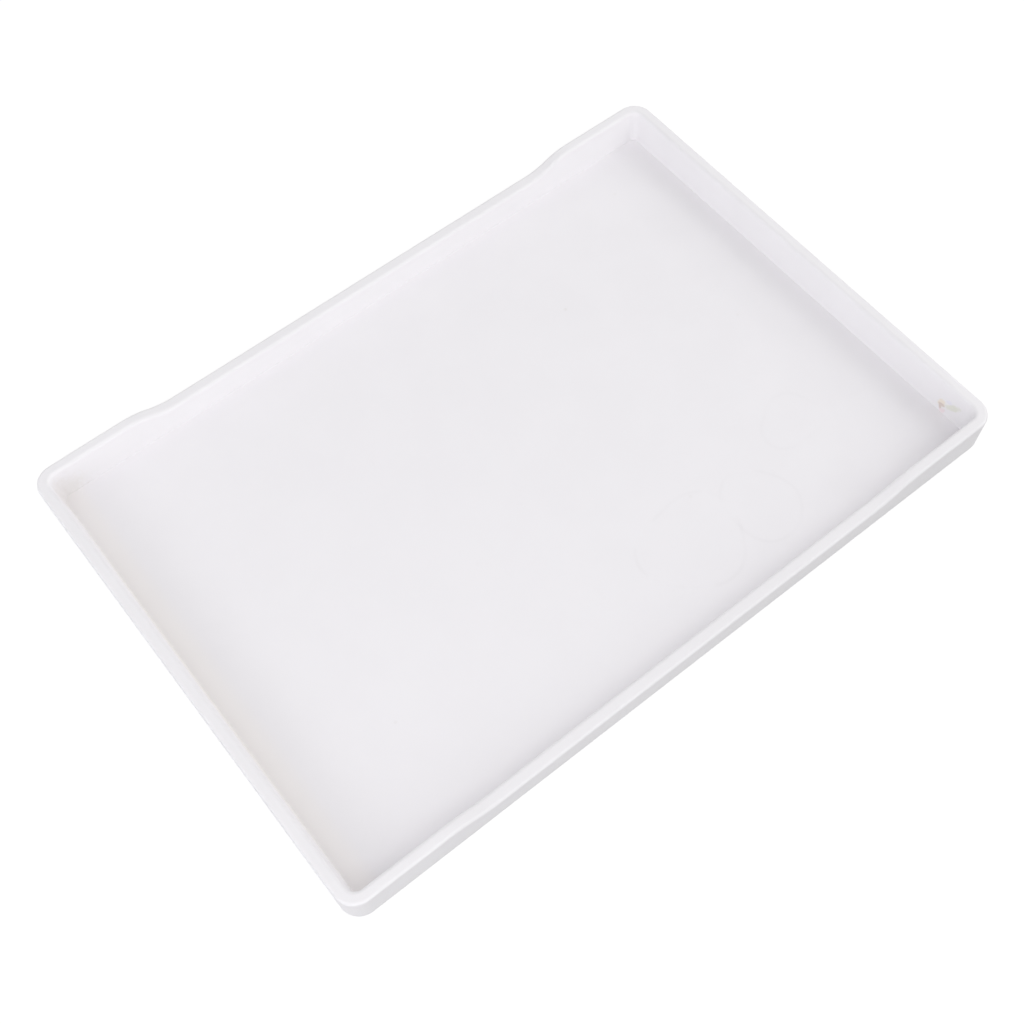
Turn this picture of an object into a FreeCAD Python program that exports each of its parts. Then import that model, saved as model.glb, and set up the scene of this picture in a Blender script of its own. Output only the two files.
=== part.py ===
import FreeCAD, Part
import math
import os
import Sketcher

# A shallow wet palette: a moulded tray, a wet absorbent sheet on its floor and palette paper on that.
# The origin is on the table under the middle of the tray, +X runs along its length and +Z is up.

# Driving dimensions in millimetres, with the wall's lean in degrees
SIZES = {
    # Outside of the tray
    "tray_length": 229.8,
    "tray_width": 159.5,
    "tray_height": 13.0,
    "rim_corner_radius": 6.3,
    "foot_inset": 0.4,
    "foot_round": 0.5,
    # Rim and the dip in it along both long sides
    "rim_thickness": 3.45,
    "rim_outer_round": 0.85,
    "rim_inner_round": 1.1,
    "rim_least_flat": 0.3,
    "dip_end_margin": 30.9,
    "dip_ramp_length": 17.0,
    "dip_depth": 3.2,
    # Well that holds the sheets
    "wall_lean": 8.5,
    "well_corner_radius": 3.3,
    "floor_corner_radius": 1.9,
    "floor_thickness": 1.2,
    "floor_round": 0.6,
    # Channel that cores out the wall from below, as high as the dip leaves room for
    "skirt_thickness": 1.3,
    "wall_thickness": 1.3,
    "roof_thickness": 1.5,
    # Sheets
    "absorbent_thickness": 0.8,
    "paper_thickness": 0.12,
    "sheet_edge_clearance": 0.35,
}

# Heights of the levels between the table and the rim, as expressions of the sizes
TABLE = "0"
RIM = "Sizes.tray_height"
FLOOR = "Sizes.floor_thickness"
PAPER_BASE = f"({FLOOR} + Sizes.absorbent_thickness)"
CHANNEL_ROOF = "(Sizes.tray_height - Sizes.dip_depth - Sizes.roof_thickness)"

# An edge is taken to lie at a level when it is this close to it
LEVEL_TOLERANCE = 0.01


def outer_inset(height):
    """How far the outer wall at a height lies in from the rim's outer edge."""
    return f"(Sizes.foot_inset * (1 - {height} / Sizes.tray_height))"


def well_inset(height):
    """How far the well's leaning wall at a height lies in from the rim's outer edge."""
    return f"(Sizes.rim_thickness + (Sizes.tray_height - {height}) * tan(Sizes.wall_lean * 1 deg))"


def make_sheet(doc):
    sheet = doc.addObject("Spreadsheet::Sheet", "Sizes")
    for row, (name, value) in enumerate(SIZES.items(), start=1):
        sheet.set(f"A{row}", name)
        sheet.set(f"B{row}", str(value))
        sheet.setAlias(f"B{row}", name)
    doc.recompute()


def new_body(doc, label):
    body = doc.addObject("PartDesign::Body", label)
    body.Label = label
    return body


def new_sketch(body, name, role):
    """An empty sketch on one of the body's own origin planes."""
    plane = next(item for item in body.Origin.OriginFeatures if item.Role == role)
    sketch = body.newObject("Sketcher::SketchObject", name)
    sketch.AttachmentSupport = [(plane, "")]
    sketch.MapMode = "FlatFace"
    return sketch


def add_dimension(sketch, name, expression, *constraint):
    """A named dimension of the sketch, bound to the sizes."""
    index = sketch.addConstraint(Sketcher.Constraint(*constraint))
    sketch.renameConstraint(index, name)
    sketch.setExpression(f"Constraints.{name}", expression)


def rounded_outline(body, name, height, inset, radius):
    """A rounded rectangle at a height, with its sides set in from the rim's outer edge."""
    sketch = new_sketch(body, name, "XY_Plane")
    sketch.setExpression("AttachmentOffset.Base.z", height)
    start_radius = SIZES["rim_corner_radius"]
    half_x = SIZES["tray_length"] / 2
    half_y = SIZES["tray_width"] / 2
    corner_x = half_x - start_radius
    corner_y = half_y - start_radius
    sides = (
        ((-corner_x, -half_y), (corner_x, -half_y)),
        ((half_x, -corner_y), (half_x, corner_y)),
        ((corner_x, half_y), (-corner_x, half_y)),
        ((-half_x, corner_y), (-half_x, -corner_y)),
    )
    corners = ((corner_x, -corner_y), (corner_x, corner_y), (-corner_x, corner_y), (-corner_x, -corner_y))
    for quarter, (side, corner) in enumerate(zip(sides, corners)):
        first, last = (FreeCAD.Vector(*point) for point in side)
        sketch.addGeometry(Part.LineSegment(first, last))
        circle = Part.Circle(FreeCAD.Vector(*corner), FreeCAD.Vector(0, 0, 1), start_radius)
        turn = math.radians(90 * quarter - 90)
        sketch.addGeometry(Part.ArcOfCircle(circle, turn, turn + math.pi / 2))
    for quarter in range(4):
        line = 2 * quarter
        arc = line + 1
        next_line = (line + 2) % 8
        sketch.addConstraint(Sketcher.Constraint("Tangent", line, 2, arc, 1))
        sketch.addConstraint(Sketcher.Constraint("Tangent", arc, 2, next_line, 1))
        sketch.addConstraint(Sketcher.Constraint("Vertical" if quarter % 2 else "Horizontal", line))
    for arc in (3, 5, 7):
        sketch.addConstraint(Sketcher.Constraint("Equal", 1, arc))
    sketch.addConstraint(Sketcher.Constraint("Symmetric", 3, 3, 7, 3, -1, 1))
    length = f"Sizes.tray_length - 2 * {inset}"
    width = f"Sizes.tray_width - 2 * {inset}"
    add_dimension(sketch, "length", length, "DistanceX", 6, 1, 2, 1, 2 * half_x)
    add_dimension(sketch, "width", width, "DistanceY", 0, 1, 4, 1, 2 * half_y)
    add_dimension(sketch, "radius", radius, "Radius", 1, start_radius)
    return sketch


def dip_outline(body, name):
    """What the dip takes off the rim, seen along Y: a flat bottom with an S-shaped ramp at each end."""
    sketch = new_sketch(body, name, "XZ_Plane")
    top = SIZES["tray_height"]
    low = top - SIZES["dip_depth"]
    clear = top + SIZES["dip_depth"]
    end = SIZES["tray_length"] / 2 - SIZES["dip_end_margin"]
    foot = end - SIZES["dip_ramp_length"]
    half_way = (end + foot) / 2
    radius = (SIZES["dip_ramp_length"] ** 2 + SIZES["dip_depth"] ** 2) / (4 * SIZES["dip_depth"])
    turn = math.asin((end - half_way) / radius)
    up = math.pi / 2
    down = -math.pi / 2

    def line(start, finish):
        sketch.addGeometry(Part.LineSegment(FreeCAD.Vector(*start), FreeCAD.Vector(*finish)))

    def arc(centre_x, centre_y, start, finish):
        circle = Part.Circle(FreeCAD.Vector(centre_x, centre_y), FreeCAD.Vector(0, 0, 1), radius)
        sketch.addGeometry(Part.ArcOfCircle(circle, start, finish))

    line((end, clear), (-end, clear))
    line((-end, clear), (-end, top))
    arc(-end, top - radius, up - turn, up)
    arc(-foot, low + radius, down - turn, down)
    line((-foot, low), (foot, low))
    arc(foot, low + radius, down, down + turn)
    arc(end, top - radius, up, up + turn)
    line((end, top), (end, clear))

    for constraint in (
        ("Coincident", 0, 2, 1, 1),
        ("Perpendicular", 1, 2, 2, 2),
        ("Tangent", 2, 1, 3, 1),
        ("Tangent", 3, 2, 4, 1),
        ("Tangent", 4, 2, 5, 1),
        ("Tangent", 5, 2, 6, 2),
        ("Perpendicular", 6, 1, 7, 1),
        ("Coincident", 7, 2, 0, 1),
        ("Vertical", 1),
        ("Vertical", 7),
        ("Symmetric", 4, 1, 4, 2, -2),
        ("Symmetric", 0, 1, 0, 2, -2),
        ("Equal", 2, 3),
        ("Equal", 5, 6),
    ):
        sketch.addConstraint(Sketcher.Constraint(*constraint))
    ends = "Sizes.tray_length - 2 * Sizes.dip_end_margin"
    bottom = f"{ends} - 2 * Sizes.dip_ramp_length"
    depth = "Sizes.dip_depth"
    add_dimension(sketch, "ends", ends, "DistanceX", 0, 2, 0, 1, 2 * end)
    add_dimension(sketch, "bottom", bottom, "DistanceX", 4, 1, 4, 2, 2 * foot)
    add_dimension(sketch, "left_depth", depth, "DistanceY", 4, 1, 1, 2, top - low)
    add_dimension(sketch, "right_depth", depth, "DistanceY", 4, 2, 7, 1, top - low)
    add_dimension(sketch, "overshoot", depth, "DistanceY", 1, 2, 1, 1, clear - top)
    add_dimension(sketch, "level", f"{RIM} - {depth}", "DistanceY", -1, 1, 4, 1, low)
    return sketch


def add_loft(body, kind, name, lower, upper):
    """A straight-sided loft between two outlines, added to the body or taken from it."""
    before = body.Shape.Volume if body.Tip else 0.0
    loft = body.newObject(f"PartDesign::{kind}Loft", name)
    loft.Profile = lower
    loft.Sections = [upper]
    loft.Ruled = True
    body.Document.recompute()
    grew = loft.Shape.Volume > before
    if grew != (kind == "Additive"):
        raise ValueError(f"{name} left the body's volume as it was, or changed it the wrong way")
    return loft


def add_dip(body):
    """Cuts the dip through both long walls, from one side of the tray to the other."""
    sketch = dip_outline(body, "DipOutline")
    before = body.Shape.Volume
    dip = body.newObject("PartDesign::Pocket", "Dip")
    dip.Profile = sketch
    dip.Type = "ThroughAll"
    dip.SideType = "Symmetric"
    body.Document.recompute()
    if dip.Shape.Volume >= before:
        raise ValueError("the dip cut nothing")
    return dip


def inset_of(point):
    """How far a point, seen from above, lies in from the rim's outer edge."""
    radius = SIZES["rim_corner_radius"]
    past_x = abs(point.x) - (SIZES["tray_length"] / 2 - radius)
    past_y = abs(point.y) - (SIZES["tray_width"] / 2 - radius)
    return radius - math.hypot(max(past_x, 0), max(past_y, 0)) - min(max(past_x, past_y), 0)


def edges_between(shape, lowest, highest, nearest, farthest):
    """Names of the edges that keep between two levels and, at their middle, between two insets."""
    names = []
    for number, edge in enumerate(shape.Edges, start=1):
        box = edge.BoundBox
        at_level = box.ZMin > lowest - LEVEL_TOLERANCE and box.ZMax < highest + LEVEL_TOLERANCE
        middle = edge.valueAt((edge.FirstParameter + edge.LastParameter) / 2)
        if at_level and nearest < inset_of(middle) < farthest:
            names.append(f"Edge{number}")
    return names


def add_fillet(body, name, edges, radius):
    base = body.Tip
    fillet = body.newObject("PartDesign::Fillet", name)
    fillet.Base = (base, edges)
    fillet.setExpression("Radius", radius)
    body.Document.recompute()
    return fillet


def round_edges(body):
    """Rounds the rim's two edges, the foot's edge and the corner between the well's floor and wall."""
    top = SIZES["tray_height"]
    low = top - SIZES["dip_depth"]
    rim = SIZES["rim_thickness"]
    floor = SIZES["floor_thickness"]
    middle = SIZES["tray_width"] / 2
    skirt_middle = SIZES["foot_inset"] + SIZES["skirt_thickness"] / 2
    inner_limit = "Sizes.rim_thickness - Sizes.rim_outer_round - Sizes.rim_least_flat"

    edges = edges_between(body.Shape, low, top, -rim, rim / 4)
    add_fillet(body, "RimOuterRound", edges, "Sizes.rim_outer_round")
    edges = edges_between(body.Shape, low, top, rim * 3 / 4, middle)
    add_fillet(body, "RimInnerRound", edges, f"min(Sizes.rim_inner_round; {inner_limit})")
    edges = edges_between(body.Shape, floor, floor, 0, middle)
    add_fillet(body, "FloorRound", edges, "Sizes.floor_round")
    edges = edges_between(body.Shape, 0, 0, -rim, skirt_middle)
    add_fillet(body, "FootRound", edges, "Sizes.foot_round")


def make_tray(doc):
    body = new_body(doc, "tray")

    foot_radius = "Sizes.rim_corner_radius - Sizes.foot_inset"
    foot = rounded_outline(body, "FootOutline", TABLE, outer_inset(TABLE), foot_radius)
    rim = rounded_outline(body, "RimOutline", RIM, outer_inset(RIM), "Sizes.rim_corner_radius")
    add_loft(body, "Additive", "Outside", foot, rim)

    skirt = "Sizes.skirt_thickness"
    skirt_radius = f"{foot_radius} - {skirt}"
    skirt_foot = rounded_outline(body, "SkirtFoot", TABLE, f"({outer_inset(TABLE)} + {skirt})", skirt_radius)
    skirt_top = rounded_outline(
        body, "SkirtTop", CHANNEL_ROOF, f"({outer_inset(CHANNEL_ROOF)} + {skirt})", skirt_radius
    )
    add_loft(body, "Subtractive", "Underside", skirt_foot, skirt_top)

    wall = "Sizes.wall_thickness"
    core_foot = rounded_outline(
        body, "CoreFoot", TABLE, f"({well_inset(TABLE)} - {wall})", f"Sizes.floor_corner_radius + {wall}"
    )
    core_top = rounded_outline(
        body, "CoreTop", CHANNEL_ROOF, f"({well_inset(CHANNEL_ROOF)} - {wall})", f"Sizes.well_corner_radius + {wall}"
    )
    add_loft(body, "Additive", "Core", core_foot, core_top)

    well_floor = rounded_outline(body, "WellFloor", FLOOR, well_inset(FLOOR), "Sizes.floor_corner_radius")
    well_mouth = rounded_outline(body, "WellMouth", RIM, well_inset(RIM), "Sizes.well_corner_radius")
    add_loft(body, "Subtractive", "Well", well_floor, well_mouth)

    add_dip(body)
    round_edges(body)
    return body


def make_flat_sheet(doc, label, base, thickness, inset, corner_radius):
    """A sheet with rounded corners that lies flat at a height in the well."""
    body = new_body(doc, label)
    outline = rounded_outline(body, f"{label}_outline", base, inset, corner_radius)
    pad = body.newObject("PartDesign::Pad", f"{label}_pad")
    pad.Profile = outline
    pad.setExpression("Length", thickness)
    doc.recompute()
    return body


def make_absorbent_sheet(doc):
    """The felt lies on the floor, inside the rounded corner where floor and wall meet."""
    gap = "(Sizes.floor_round + Sizes.sheet_edge_clearance)"
    inset = f"({well_inset(FLOOR)} + {gap})"
    radius = f"Sizes.floor_corner_radius - {gap}"
    return make_flat_sheet(doc, "absorbent_sheet", FLOOR, "Sizes.absorbent_thickness", inset, radius)


def make_palette_paper(doc):
    """The paper lies on the felt and reaches out to the walls."""
    inset = f"({well_inset(PAPER_BASE)} + Sizes.sheet_edge_clearance)"
    radius = "Sizes.floor_corner_radius - Sizes.sheet_edge_clearance"
    return make_flat_sheet(doc, "palette_paper", PAPER_BASE, "Sizes.paper_thickness", inset, radius)


def check_document(doc, bodies):
    for item in doc.Objects:
        if "Invalid" in item.State or "Error" in item.State:
            raise ValueError(f"{item.Label} failed to build: {item.State}")
    for body in bodies:
        if body.Shape.isNull() or not body.Shape.isValid() or len(body.Shape.Solids) != 1:
            raise ValueError(f"{body.Label} isn't one valid solid")


def main():
    doc = FreeCAD.newDocument("wet_palette")
    make_sheet(doc)
    bodies = [make_tray(doc), make_absorbent_sheet(doc), make_palette_paper(doc)]
    doc.recompute()
    check_document(doc, bodies)
    os.makedirs("parts", exist_ok=True)
    for body in bodies:
        body.Shape.exportStep(f"parts/{body.Label}.step")
        box = body.Shape.optimalBoundingBox()
        size = f"{box.XLength:.2f} x {box.YLength:.2f} x {box.ZLength:.2f} mm"
        print(f"{body.Label}: {size}, {body.Shape.Volume:.0f} mm3")


main()
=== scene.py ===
import bpy
import math
import numpy as np
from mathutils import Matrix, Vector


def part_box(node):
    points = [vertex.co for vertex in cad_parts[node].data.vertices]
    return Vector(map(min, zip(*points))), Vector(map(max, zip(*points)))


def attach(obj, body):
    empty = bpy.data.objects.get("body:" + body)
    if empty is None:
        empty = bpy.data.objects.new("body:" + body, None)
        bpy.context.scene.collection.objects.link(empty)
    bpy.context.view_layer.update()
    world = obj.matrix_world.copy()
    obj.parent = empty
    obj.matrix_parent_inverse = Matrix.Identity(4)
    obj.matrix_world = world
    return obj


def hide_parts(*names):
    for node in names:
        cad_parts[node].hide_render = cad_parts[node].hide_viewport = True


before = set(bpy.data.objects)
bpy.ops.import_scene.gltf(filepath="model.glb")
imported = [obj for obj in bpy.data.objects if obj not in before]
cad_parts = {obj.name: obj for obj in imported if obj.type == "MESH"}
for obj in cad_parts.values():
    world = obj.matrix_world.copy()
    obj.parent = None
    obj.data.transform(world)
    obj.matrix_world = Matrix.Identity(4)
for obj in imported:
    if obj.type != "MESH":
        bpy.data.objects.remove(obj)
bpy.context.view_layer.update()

# A wet palette: a white moulded tray, a wet felt on its floor and palette paper on that.
# Lengths are in metres, and MM turns millimetres into them.
MM = 0.001

CAMERA_PLACE = (-0.12860, -0.17626, 0.37207)
CAMERA_TURN_DEGREES = (28.672, 1.420, -38.288)
CAMERA_LENS_MM = 51.273
CAMERA_SENSOR_MM = 36.0
CAMERA_CLIP_START = 10 * MM

WHITE = (1.0, 1.0, 1.0, 1.0)
SKY_STRENGTH = 0.489

# The floor's colour for the light that it throws back up, and for the shadow that shows on it
FLOOR_BOUNCE = (0.3, 0.3, 0.3, 1.0)
FLOOR_SHADOWED = (0.2, 0.2, 0.2, 1.0)

# The floor glows more further out, so that no horizon shows: strength and distance from the middle
FLOOR_GLOW = (0.85, 1.0)
FLOOR_GLOW_RANGE = (0.25, 0.7)

# The floor lies just below the tray and has a hole that the tray's foot covers, so that the underside shows
# from below. The floor's outer edge is the hole's outline, FLOOR_SPREAD times as large.
FLOOR_DROP = 0.02 * MM
HOLE_INSET = 1.2 * MM
HOLE_CORNER = 5.1 * MM
HOLE_CORNER_STEPS = 9
FLOOR_SPREAD = 25

# Soft boxes round the tray: name, azimuth and elevation in degrees, distance, width, watts, colour
LAMPS = (
    ("front_lamp", 0, 15, 1.3, 0.6, 1.81, (1.0, 1.0, 1.0)),
    ("front_right_lamp", 45, 35, 1.3, 0.6, 2.23, (1.0, 1.0, 1.0)),
    ("low_right_lamp", 90, 15, 1.3, 0.6, 2.25, (1.0, 1.0, 1.0)),
    ("right_lamp", 90, 35, 1.3, 0.6, 1.60, (1.0, 1.0, 1.0)),
    ("back_right_lamp", 135, 35, 1.3, 0.6, 1.23, (1.0, 1.0, 1.0)),
    ("left_lamp", 270, 35, 1.3, 0.6, 1.87, (0.96, 0.96, 1.0)),
    ("high_left_lamp", 315, 55, 1.3, 0.6, 2.54, (1.0, 1.0, 1.0)),
    ("near_back_lamp", 240, 15, 0.5, 0.25, 0.275, (0.96, 0.96, 1.0)),
    ("near_left_lamp", 310, 15, 0.5, 0.25, 0.41, (0.96, 0.96, 1.0)),
)

# In the materials a SIZE is that of a noise pattern, and a RANGE gives where a smooth step starts and ends
MOTTLE_RANGE = (0.35, 0.65)

PLASTIC_COLOUR = (0.873, 0.859, 0.878, 1.0)
PLASTIC_SHADE = (0.861, 0.847, 0.866, 1.0)
PLASTIC_MOTTLE_SIZE = 28 * MM
PLASTIC_ROUGHNESS = (0.42, 0.55)
PLASTIC_GLOSS_SIZE = 9 * MM
PLASTIC_GRAIN_SIZE = 0.45 * MM
PLASTIC_GRAIN_DEPTH = 0.012 * MM

PAPER_COLOUR = (0.890, 0.873, 0.896, 1.0)
PAPER_SHADE = (0.882, 0.865, 0.888, 1.0)
PAPER_DAMP_SIZE = 22 * MM
PAPER_ROUGHNESS = (0.48, 0.60)
PAPER_FIBRE_SIZE = 0.5 * MM
PAPER_FIBRE_DEPTH = 0.004 * MM
PAPER_STEP = 1.25 * MM

# The wet paper has spread across the CAD sheet's gap to the well's walls, and its edge leans as they do
CAD_PAPER_GAP = 0.35 * MM
PAPER_CORNER = 1.98 * MM
WALL_LEAN = math.radians(8.5)

# The wet paper cockles in waves along X, along Y and aslant, with lengths given per radian.
# It lies flat again within a narrow width along its edge.
COCKLE_HEIGHT = 0.02 * MM
COCKLE_LENGTH_X = 17 * MM
COCKLE_LENGTH_Y = 23 * MM
COCKLE_LENGTH_ASLANT = 41 * MM
COCKLE_SHIFT_X = 0.8
COCKLE_SHIFT_Y = -0.4
COCKLE_FLAT_EDGE = 8 * MM

# A faint warm tint on the paper at the -X end of the well, which grows between two places along X
WARM_TINT_COLOUR = (0.898, 0.871, 0.868, 1.0)
WARM_TINT_RANGE = (-101 * MM, -107 * MM)

# Dust on the paper: a speck's edge as shares of the spacing, and the chances that make a speck faint and full
SPECK_COLOUR = (0.845, 0.825, 0.835, 1.0)
SPECK_SPACING = 55 * MM
SPECK_EDGE_RANGE = (0.012, 0.006)
SPECK_CHANCE_RANGE = (0.3, 0.9)

# Painted shade and dried paint on the well's walls: middle and half sizes in mm, turn about X in degrees, and
# colour
# The next two colours are painted shade: darker and warmer low on the -X wall, and darker still in that
# wall's corner at +Y
WALL_WARM_PAINTED_SHADE = (0.864, 0.840, 0.824, 1.0)
CORNER_PAINTED_SHADE = (0.825, 0.803, 0.800, 1.0)
BEIGE = (0.86, 0.79, 0.70, 1.0)
PINK = (0.86, 0.77, 0.79, 1.0)
OLIVE = (0.79, 0.79, 0.73, 1.0)
VIOLET = (0.83, 0.82, 0.88, 1.0)
BROWN = (0.71, 0.62, 0.58, 1.0)
PAINT_AND_PAINTED_SHADE_DABS = (
    # The first two dabs are painted shade, low on the -X wall and in its corner at +Y; the rest are dried
    # paint
    {"middle": (-110.2, -2.0, 2.0), "halves": (2.0, 78.0, 6.5), "turn": 0, "colour": WALL_WARM_PAINTED_SHADE},
    {"middle": (-110.0, 74.0, 3.0), "halves": (10.0, 8.0, 8.5), "turn": 0, "colour": CORNER_PAINTED_SHADE},
    {"middle": (110.3, -64.4, 5.3), "halves": (2.0, 1.6, 1.5), "turn": -47, "colour": BEIGE},
    {"middle": (109.9, -65.6, 3.0), "halves": (2.0, 1.5, 1.0), "turn": -47, "colour": PINK},
    {"middle": (110.5, -68.3, 6.6), "halves": (2.0, 3.4, 1.3), "turn": -33, "colour": OLIVE},
    {"middle": (110.6, -66.5, 7.5), "halves": (2.0, 1.3, 0.8), "turn": -20, "colour": VIOLET},
    {"middle": (110.2, -64.7, 4.8), "halves": (2.0, 1.4, 0.6), "turn": -3, "colour": BROWN},
    {"middle": (110.1, -64.5, 3.9), "halves": (2.0, 1.0, 0.5), "turn": 70, "colour": BROWN},
)

# A dab's edge as shares of its half sizes, and how far noise moves it in and out
DAB_EDGE_RANGE = (1.15, 0.45)
DAB_RAGGED = 0.5
DAB_RAGGED_SIZE = 1.2 * MM

FELT_COLOUR = (0.80, 0.78, 0.72, 1.0)
FELT_SHADE = (0.68, 0.66, 0.60, 1.0)
FELT_ROUGHNESS = 0.85
FELT_FIBRE_SIZE = 0.5 * MM
FELT_FIBRE_LENGTHS_PER_WIDTH = 4
FELT_FIBRE_RANGE = (0.40, 0.72)
FELT_FIBRE_DEPTH = 0.15 * MM
FELT_CORNER = 0.95 * MM
FELT_STEP = 1.6 * MM
FELT_EDGE_BULGE = 0.25 * MM
FELT_EDGE_STEPS = 4

# The felt is uneven in waves of the paper's kind
FELT_WAVE_HEIGHT = 0.015 * MM
FELT_WAVE_X = 9 * MM
FELT_WAVE_Y = 11 * MM
FELT_WAVE_ASLANT = 27 * MM

SHARP_ANGLE = math.radians(60)

# Air bubbles under the wet paper: centre, mean radius and height in mm, and the share and turn in degrees
# of the oval and of the three lobes in their outline
BUBBLES = (
    {"centre": (23.5, -52.0), "radius": 15.3, "oval": (0.07, 5), "lobes": (0.08, 40), "height": 0.14},
    {"centre": (47.3, -55.2), "radius": 11.4, "oval": (0.10, 95), "lobes": (0.05, 110), "height": 0.12},
    {"centre": (73.0, -39.5), "radius": 9.0, "oval": (0.12, 20), "lobes": (0.06, 75), "height": 0.08},
)

# A bubble has a flat top, wider for a larger BUBBLE_TOP, and falls off steeply near its outline
BUBBLE_TOP = 1.08
BUBBLE_STEEPNESS = 4

# A faint broken line round each bubble, as strong as the bubble is high
LINE_COLOUR = (0.74, 0.72, 0.74, 1.0)
LINE_PER_HEIGHT = 0.9
LINE_EDGE_RANGE = (0.9 * MM, 0.1 * MM)
LINE_BREAK_SIZE = 11 * MM
LINE_BREAK_RANGE = (0.35, 0.6)


class Nodes:
    """A node tree in the making. Apart from node and feed, each method gives the new node's output."""

    def __init__(self, owner):
        owner.use_nodes = True
        self.tree = owner.node_tree
        self.tree.nodes.clear()

    def node(self, kind, inputs=None, **settings):
        made = self.tree.nodes.new(kind)
        for name, value in settings.items():
            setattr(made, name, value)
        for name, value in (inputs or {}).items():
            self.feed(made.inputs[name], value)
        return made

    def feed(self, socket, value):
        if isinstance(value, bpy.types.NodeSocket):
            self.tree.links.new(value, socket)
        else:
            socket.default_value = value

    def math(self, operation, first, second=0.0):
        return self.node("ShaderNodeMath", {0: first, 1: second}, operation=operation).outputs[0]

    def vector(self, operation, first, second):
        return self.node("ShaderNodeVectorMath", {0: first, 1: second}, operation=operation).outputs[0]

    def length(self, vector):
        return self.node("ShaderNodeVectorMath", {0: vector}, operation="LENGTH").outputs["Value"]

    def noise(self, place, size, detail=2.0, roughness=0.5):
        inputs = {"Vector": place, "Scale": 1 / size, "Detail": detail, "Roughness": roughness}
        return self.node("ShaderNodeTexNoise", inputs).outputs["Fac"]

    def step(self, value, start, end):
        """A smooth step from 0 at start to 1 at end."""
        inputs = {"Value": value, "From Min": start, "From Max": end}
        return self.node("ShaderNodeMapRange", inputs, interpolation_type="SMOOTHSTEP").outputs["Result"]

    def between(self, share, low, high):
        inputs = {"Value": share, "To Min": low, "To Max": high}
        return self.node("ShaderNodeMapRange", inputs).outputs["Result"]

    def mix(self, share, first, second):
        inputs = {0: share, 6: first, 7: second}
        return self.node("ShaderNodeMix", inputs, data_type="RGBA").outputs[2]

    def bump(self, height, depth):
        inputs = {"Height": height, "Distance": depth, "Strength": 1.0}
        return self.node("ShaderNodeBump", inputs).outputs["Normal"]


def object_place(nodes):
    return nodes.node("ShaderNodeTexCoord").outputs["Object"]


def finish_surface(nodes, **inputs):
    """Ends a material in one Principled shader with the given inputs."""
    names = {name.replace("_", " "): value for name, value in inputs.items()}
    shader = nodes.node("ShaderNodeBsdfPrincipled", names)
    nodes.node("ShaderNodeOutputMaterial", {"Surface": shader.outputs["BSDF"]})


def dab_share(nodes, place, dab):
    """1 inside a dab of paint or of painted shade, falling to 0 at its ragged edge."""
    inputs = {
        "Vector": place,
        "Location": [length * MM for length in dab["middle"]],
        "Rotation": (math.radians(dab["turn"]), 0.0, 0.0),
        "Scale": [length * MM for length in dab["halves"]],
    }
    local = nodes.node("ShaderNodeMapping", inputs, vector_type="TEXTURE").outputs[0]
    ragged = nodes.between(nodes.noise(place, DAB_RAGGED_SIZE, detail=3.0), -DAB_RAGGED, DAB_RAGGED)
    return nodes.step(nodes.math("ADD", nodes.length(local), ragged), *DAB_EDGE_RANGE)


def speck_share(nodes, place):
    """1 on a few specks of dust and 0 elsewhere."""
    inputs = {"Vector": place, "Scale": 1 / SPECK_SPACING}
    cells = nodes.node("ShaderNodeTexVoronoi", inputs, voronoi_dimensions="2D").outputs
    inside = nodes.step(cells["Distance"], *SPECK_EDGE_RANGE)
    chance = nodes.node("ShaderNodeSeparateColor", {0: cells["Color"]}).outputs["Red"]
    return nodes.math("MULTIPLY", inside, nodes.step(chance, *SPECK_CHANCE_RANGE))


def tray_plastic():
    """White moulded plastic: a fine matte grain, uneven in tone and gloss, with dried paint and with painted
    shade on the -X wall and in its corner.
    """
    material = bpy.data.materials.new("tray_plastic")
    nodes = Nodes(material)
    place = object_place(nodes)
    mottle = nodes.step(nodes.noise(place, PLASTIC_MOTTLE_SIZE, detail=3.0), *MOTTLE_RANGE)
    colour = nodes.mix(mottle, PLASTIC_COLOUR, PLASTIC_SHADE)
    # Dabs of dried paint, and dabs of painted shade on the -X wall and in its corner at +Y
    for dab in PAINT_AND_PAINTED_SHADE_DABS:
        colour = nodes.mix(dab_share(nodes, place, dab), colour, dab["colour"])
    gloss = nodes.noise(place, PLASTIC_GLOSS_SIZE, detail=4.0, roughness=0.6)
    grain = nodes.noise(place, PLASTIC_GRAIN_SIZE, detail=3.0, roughness=0.6)
    finish_surface(
        nodes,
        Base_Color=colour,
        Roughness=nodes.between(gloss, *PLASTIC_ROUGHNESS),
        Normal=nodes.bump(grain, PLASTIC_GRAIN_DEPTH),
    )
    return material


def outline_waves(bubble):
    """The waves in a bubble's outline, each as waves per turn, share of the radius and turn."""
    return (2, *bubble["oval"]), (3, *bubble["lobes"])


def line_share(nodes, place, bubble):
    """1 on the outline of a bubble and 0 away from it."""
    x, y = bubble["centre"]
    offset = nodes.vector("SUBTRACT", place, (x * MM, y * MM, 0.0))
    parts = nodes.node("ShaderNodeSeparateXYZ", {0: offset}).outputs
    angle = nodes.math("ARCTAN2", parts["Y"], parts["X"])
    outline = 1.0
    for count, share, turn in outline_waves(bubble):
        phase = nodes.math("MULTIPLY", nodes.math("SUBTRACT", angle, math.radians(turn)), count)
        wave = nodes.math("MULTIPLY", nodes.math("COSINE", phase), share)
        outline = nodes.math("ADD", wave, outline)
    outline = nodes.math("MULTIPLY", outline, bubble["radius"] * MM)
    squares = nodes.math("ADD", nodes.math("POWER", parts["X"], 2.0), nodes.math("POWER", parts["Y"], 2.0))
    gap = nodes.math("ABSOLUTE", nodes.math("SUBTRACT", nodes.math("SQRT", squares), outline))
    return nodes.step(gap, *LINE_EDGE_RANGE)


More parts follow.
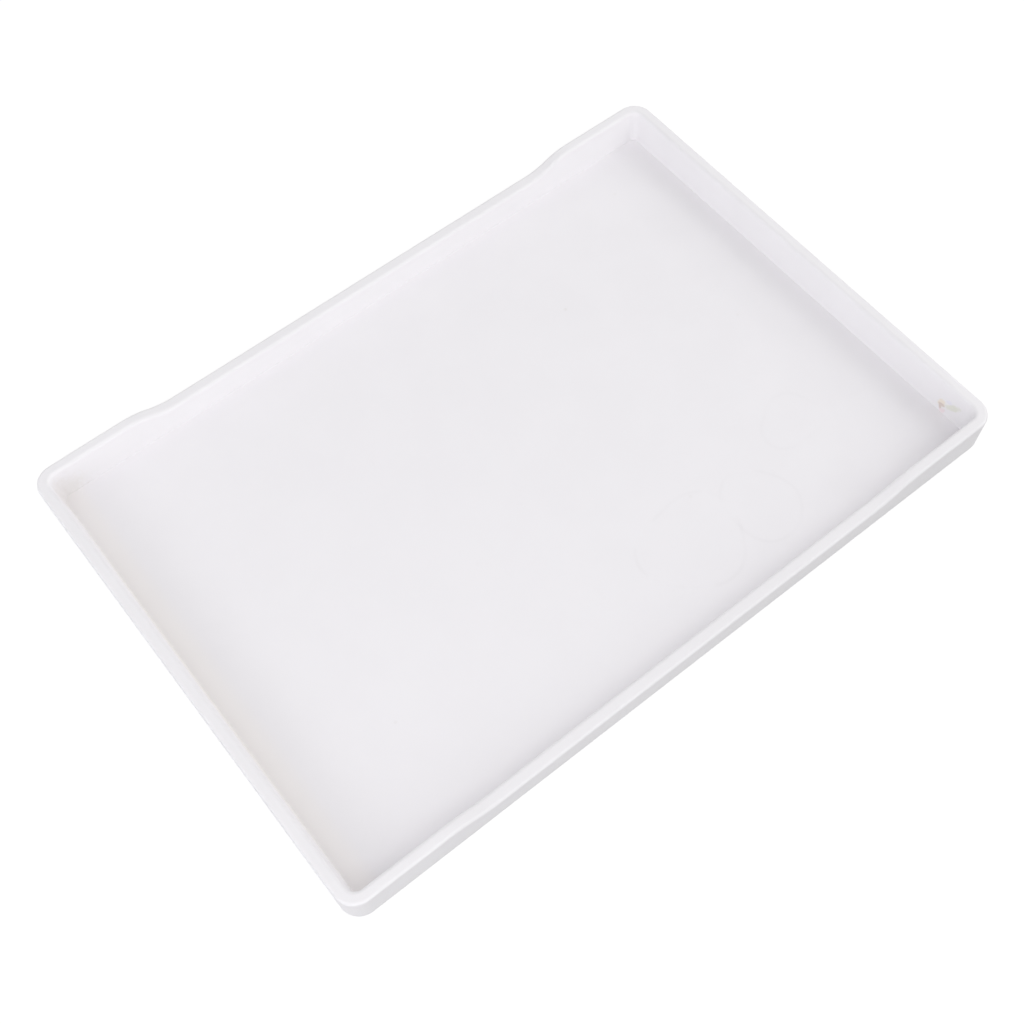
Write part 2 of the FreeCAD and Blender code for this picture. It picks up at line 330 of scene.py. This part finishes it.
def wet_paper():
    """Smooth wet paper with faint fibres, a warm tint at the -X end, specks and a fine dark line round each
    bubble.
    """
    material = bpy.data.materials.new("palette_paper")
    nodes = Nodes(material)
    place = object_place(nodes)
    damp = nodes.step(nodes.noise(place, PAPER_DAMP_SIZE, detail=4.0, roughness=0.6), *MOTTLE_RANGE)
    colour = nodes.mix(damp, PAPER_COLOUR, PAPER_SHADE)
    along_x = nodes.node("ShaderNodeSeparateXYZ", {0: place}).outputs["X"]
    # The paper turns warmer towards the -X end of the well
    colour = nodes.mix(nodes.step(along_x, *WARM_TINT_RANGE), colour, WARM_TINT_COLOUR)
    colour = nodes.mix(speck_share(nodes, place), colour, SPECK_COLOUR)
    broken = nodes.step(nodes.noise(place, LINE_BREAK_SIZE), *LINE_BREAK_RANGE)
    for bubble in BUBBLES:
        strength = LINE_PER_HEIGHT * bubble["height"]
        line = nodes.math("MULTIPLY", line_share(nodes, place, bubble), strength)
        colour = nodes.mix(nodes.math("MULTIPLY", line, broken), colour, LINE_COLOUR)
    fibre = nodes.noise(place, PAPER_FIBRE_SIZE, detail=4.0, roughness=0.65)
    finish_surface(
        nodes,
        Base_Color=colour,
        Roughness=nodes.between(damp, *PAPER_ROUGHNESS),
        Normal=nodes.bump(fibre, PAPER_FIBRE_DEPTH),
    )
    return material


def wet_felt():
    """Off-white cellulose felt with matted fibres."""
    material = bpy.data.materials.new("absorbent_felt")
    nodes = Nodes(material)
    place = object_place(nodes)
    squeeze = 1 / FELT_FIBRE_LENGTHS_PER_WIDTH
    along = nodes.vector("MULTIPLY", place, (squeeze, 1.0, 1.0))
    across = nodes.vector("MULTIPLY", place, (1.0, squeeze, 1.0))
    long_fibre = nodes.noise(along, FELT_FIBRE_SIZE, detail=4.0)
    cross_fibre = nodes.noise(across, FELT_FIBRE_SIZE, detail=4.0)
    fibre = nodes.math("MAXIMUM", long_fibre, cross_fibre)
    finish_surface(
        nodes,
        Base_Color=nodes.mix(nodes.step(fibre, *FELT_FIBRE_RANGE), FELT_SHADE, FELT_COLOUR),
        Roughness=FELT_ROUGHNESS,
        Normal=nodes.bump(fibre, FELT_FIBRE_DEPTH),
    )
    return material


def axis_lines(half, corner, step):
    """Grid lines along one axis of a sheet, with lines where its rounded corners begin."""
    corner_count = max(3, round(corner / step) + 2)
    straight_count = round(2 * (half - corner) / step) + 1
    edge = np.linspace(half - corner, half, corner_count)
    straight = np.linspace(corner - half, half - corner, straight_count)
    return np.concatenate((-edge[:0:-1], straight, edge[1:]))


def rounded_grid(half_x, half_y, corner, step):
    """A grid of points over a rounded rectangle, as arrays of x and y."""
    x, y = np.meshgrid(axis_lines(half_x, corner, step), axis_lines(half_y, corner, step), indexing="ij")
    u = np.clip((np.abs(x) - (half_x - corner)) / corner, 0, 1)
    v = np.clip((np.abs(y) - (half_y - corner)) / corner, 0, 1)
    pull_x = corner * u * (1 - np.sqrt(1 - v ** 2 / 2))
    pull_y = corner * v * (1 - np.sqrt(1 - u ** 2 / 2))
    return x - np.sign(x) * pull_x, y - np.sign(y) * pull_y


def outward(x, y, half_x, half_y, corner):
    """Unit vectors that point straight out of a rounded rectangle at points of its outline."""
    core_x = np.clip(x, corner - half_x, half_x - corner)
    core_y = np.clip(y, corner - half_y, half_y - corner)
    length = np.hypot(x - core_x, y - core_y)
    return (x - core_x) / length, (y - core_y) / length


def sheet_mesh(name, half_x, half_y, corner, step, bottom, top, edge, lift):
    """A closed sheet whose flat part is a rounded rectangle between two heights.

    edge lists (distance out, height) from the rim of the lower face round to that of the upper one.
    lift(x, y) is added to every height.
    """
    x, y = rounded_grid(half_x, half_y, corner, step)
    columns, rows = x.shape
    index = np.arange(columns * rows).reshape(columns, rows)
    rim = np.concatenate((index[:, 0], index[-1, 1:], index[-2::-1, -1], index[0, -2:0:-1]))
    x, y = x.ravel(), y.ravel()
    out_x, out_y = outward(x[rim], y[rim], half_x, half_y, corner)

    layers = [(x, y, bottom), (x, y, top)]
    layers += [(x[rim] + out_x * reach, y[rim] + out_y * reach, height) for reach, height in edge]
    points = [np.stack((px, py, height + lift(px, py)), axis=-1) for px, py, height in layers]

    count = len(x)
    quads = np.stack((index[:-1, :-1], index[1:, :-1], index[1:, 1:], index[:-1, 1:]), axis=-1).reshape(-1, 4)
    rings = [rim]
    rings += [2 * count + len(rim) * number + np.arange(len(rim)) for number in range(len(edge))]
    rings.append(rim + count)
    faces = [quads[:, ::-1], quads + count]
    for lower, upper in zip(rings, rings[1:]):
        faces.append(np.stack((lower, np.roll(lower, -1), np.roll(upper, -1), upper), axis=-1))

    mesh = bpy.data.meshes.new(name)
    mesh.from_pydata(np.concatenate(points).tolist(), [], np.concatenate(faces).tolist())
    mesh.polygons.foreach_set("use_smooth", [True] * len(mesh.polygons))
    mesh.set_sharp_from_angle(angle=SHARP_ANGLE)
    mesh.update()
    piece = bpy.data.objects.new(name, mesh)
    bpy.context.scene.collection.objects.link(piece)
    return piece


def smooth(share):
    """A smooth step from 0 to 1 for a share that lies between them."""
    return share * share * (3 - 2 * share)


def bubble_rise(bubble, x, y):
    """How far a bubble lifts the paper, in metres."""
    offset_x = x - bubble["centre"][0] * MM
    offset_y = y - bubble["centre"][1] * MM
    angle = np.arctan2(offset_y, offset_x)
    outline = 1.0
    for count, share, turn in outline_waves(bubble):
        outline = outline + share * np.cos(count * (angle - math.radians(turn)))
    reach = np.hypot(offset_x, offset_y) / (outline * bubble["radius"] * MM)
    dome = np.clip(BUBBLE_TOP - reach ** BUBBLE_STEEPNESS, 0, 1)
    return bubble["height"] * MM * smooth(dome)


def paper_lift(half_x, half_y):
    """The paper's cockle and its bubbles, as a function of the place on the paper."""

    def lift(x, y):
        along_x = np.sin(x / COCKLE_LENGTH_X + COCKLE_SHIFT_X)
        along_y = np.sin(y / COCKLE_LENGTH_Y + COCKLE_SHIFT_Y)
        aslant = np.sin((x + 2 * y) / COCKLE_LENGTH_ASLANT)
        from_edge = np.minimum(half_x - np.abs(x), half_y - np.abs(y))
        free = np.clip(from_edge / COCKLE_FLAT_EDGE, 0, 1)
        rise = COCKLE_HEIGHT * (along_x * along_y + aslant + 2) * smooth(free)
        for bubble in BUBBLES:
            rise = rise + bubble_rise(bubble, x, y)
        return rise

    return lift


def felt_lift(x, y):
    """The felt's slight unevenness, kept below the paper."""
    crossing = np.sin(x / FELT_WAVE_X) * np.sin(y / FELT_WAVE_Y)
    aslant = np.sin((2 * x - y) / FELT_WAVE_ASLANT)
    return -FELT_WAVE_HEIGHT * (crossing + aslant + 2)


def felt_edge(bottom, top):
    """A soft half-round edge."""
    radius = (top - bottom) / 2
    middle = bottom + radius
    angles = np.linspace(-math.pi / 2, math.pi / 2, FELT_EDGE_STEPS + 2)[1:-1]
    return [(FELT_EDGE_BULGE * math.cos(angle), middle + radius * math.sin(angle)) for angle in angles]


def add_paper():
    low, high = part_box("palette_paper")
    half_x, half_y = high.x + CAD_PAPER_GAP, high.y + CAD_PAPER_GAP
    edge = [((high.z - low.z) * math.tan(WALL_LEAN), high.z)]
    lift = paper_lift(half_x, half_y)
    paper = sheet_mesh("wet_paper", half_x, half_y, PAPER_CORNER, PAPER_STEP, low.z, high.z, edge, lift)
    paper.data.materials.append(wet_paper())
    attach(paper, "paper")
    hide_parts("palette_paper")


def add_felt():
    low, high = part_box("absorbent_sheet")
    half_x, half_y = high.x - FELT_EDGE_BULGE, high.y - FELT_EDGE_BULGE
    edge = felt_edge(low.z, high.z)
    corner = FELT_CORNER - FELT_EDGE_BULGE
    felt = sheet_mesh("wet_felt", half_x, half_y, corner, FELT_STEP, low.z, high.z, edge, felt_lift)
    felt.data.materials.append(wet_felt())
    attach(felt, "absorbent")
    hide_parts("absorbent_sheet")


def dress_tray():
    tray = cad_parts["tray"]
    tray.data.materials.clear()
    tray.data.materials.append(tray_plastic())


def seen_directly(nodes):
    """1 for the rays that show the background itself: the camera's, mirrored and refracted ones."""
    path = nodes.node("ShaderNodeLightPath").outputs
    mirrored = nodes.math("MAXIMUM", path["Is Glossy Ray"], path["Is Transmission Ray"])
    return nodes.math("MAXIMUM", path["Is Camera Ray"], mirrored)


def hole_outline():
    """Points round the floor's hole, anticlockwise from above."""
    _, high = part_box("tray")
    half_x, half_y = high.x - HOLE_INSET, high.y - HOLE_INSET
    angles = np.linspace(0, math.pi / 2, HOLE_CORNER_STEPS)
    corners = []
    for number, (side_x, side_y) in enumerate(((1, 1), (-1, 1), (-1, -1), (1, -1))):
        turn = angles + number * math.pi / 2
        x = side_x * (half_x - HOLE_CORNER) + HOLE_CORNER * np.cos(turn)
        y = side_y * (half_y - HOLE_CORNER) + HOLE_CORNER * np.sin(turn)
        corners.append(np.stack((x, y, np.full_like(x, -FLOOR_DROP)), axis=-1))
    return np.concatenate(corners)


def floor_material():
    """Looks white and keeps the shadow, but throws little light back up."""
    material = bpy.data.materials.new("floor")
    nodes = Nodes(material)
    from_middle = nodes.length(object_place(nodes))
    glow_strength = nodes.between(nodes.step(from_middle, *FLOOR_GLOW_RANGE), *FLOOR_GLOW)
    bounce = nodes.node("ShaderNodeBsdfDiffuse", {"Color": FLOOR_BOUNCE}).outputs[0]
    shadowed = nodes.node("ShaderNodeBsdfDiffuse", {"Color": FLOOR_SHADOWED}).outputs[0]
    glow = nodes.node("ShaderNodeEmission", {"Color": WHITE, "Strength": glow_strength}).outputs[0]
    white = nodes.node("ShaderNodeAddShader", {0: shadowed, 1: glow}).outputs[0]
    surface = nodes.node("ShaderNodeMixShader", {0: seen_directly(nodes), 1: bounce, 2: white}).outputs[0]
    nodes.node("ShaderNodeOutputMaterial", {"Surface": surface})
    return material


def add_floor():
    inner = hole_outline()
    outer = inner * (FLOOR_SPREAD, FLOOR_SPREAD, 1)
    count = len(inner)
    near = np.arange(count)
    ahead = np.roll(near, -1)
    faces = np.stack((near, near + count, ahead + count, ahead), axis=-1)
    mesh = bpy.data.meshes.new("floor")
    mesh.from_pydata(np.concatenate((inner, outer)).tolist(), [], faces.tolist())
    mesh.materials.append(floor_material())
    floor = bpy.data.objects.new("floor", mesh)
    bpy.context.scene.collection.objects.link(floor)


def add_sky():
    """A soft white sky that looks fully white itself."""
    world = bpy.data.worlds.new("sky")
    bpy.context.scene.world = world
    nodes = Nodes(world)
    soft = nodes.node("ShaderNodeBackground", {"Color": WHITE, "Strength": SKY_STRENGTH}).outputs[0]
    white = nodes.node("ShaderNodeBackground", {"Color": WHITE, "Strength": 1.0}).outputs[0]
    surface = nodes.node("ShaderNodeMixShader", {0: seen_directly(nodes), 1: soft, 2: white}).outputs[0]
    nodes.node("ShaderNodeOutputWorld", {"Surface": surface})


def add_lamps():
    """Azimuth 0 is in front of the tray, on the -Y side, and 90 is on its +X side."""
    for name, azimuth, elevation, distance, width, power, colour in LAMPS:
        data = bpy.data.lights.new(name, "AREA")
        data.size = width
        data.energy = power
        data.color = colour
        lamp = bpy.data.objects.new(name, data)
        turn, rise = math.radians(azimuth), math.radians(elevation)
        level = distance * math.cos(rise)
        lamp.location = (level * math.sin(turn), -level * math.cos(turn), distance * math.sin(rise))
        lamp.rotation_euler = lamp.location.to_track_quat("Z", "Y").to_euler()
        bpy.context.scene.collection.objects.link(lamp)


def add_camera():
    data = bpy.data.cameras.new("camera")
    data.lens = CAMERA_LENS_MM
    data.sensor_width = CAMERA_SENSOR_MM
    data.clip_start = CAMERA_CLIP_START
    camera = bpy.data.objects.new("camera", data)
    camera.location = CAMERA_PLACE
    camera.rotation_euler = [math.radians(angle) for angle in CAMERA_TURN_DEGREES]
    bpy.context.scene.collection.objects.link(camera)
    bpy.context.scene.camera = camera


dress_tray()
add_felt()
add_paper()
add_floor()
add_sky()
add_lamps()
add_camera()
bpy.context.scene.view_settings.view_transform = "Standard"
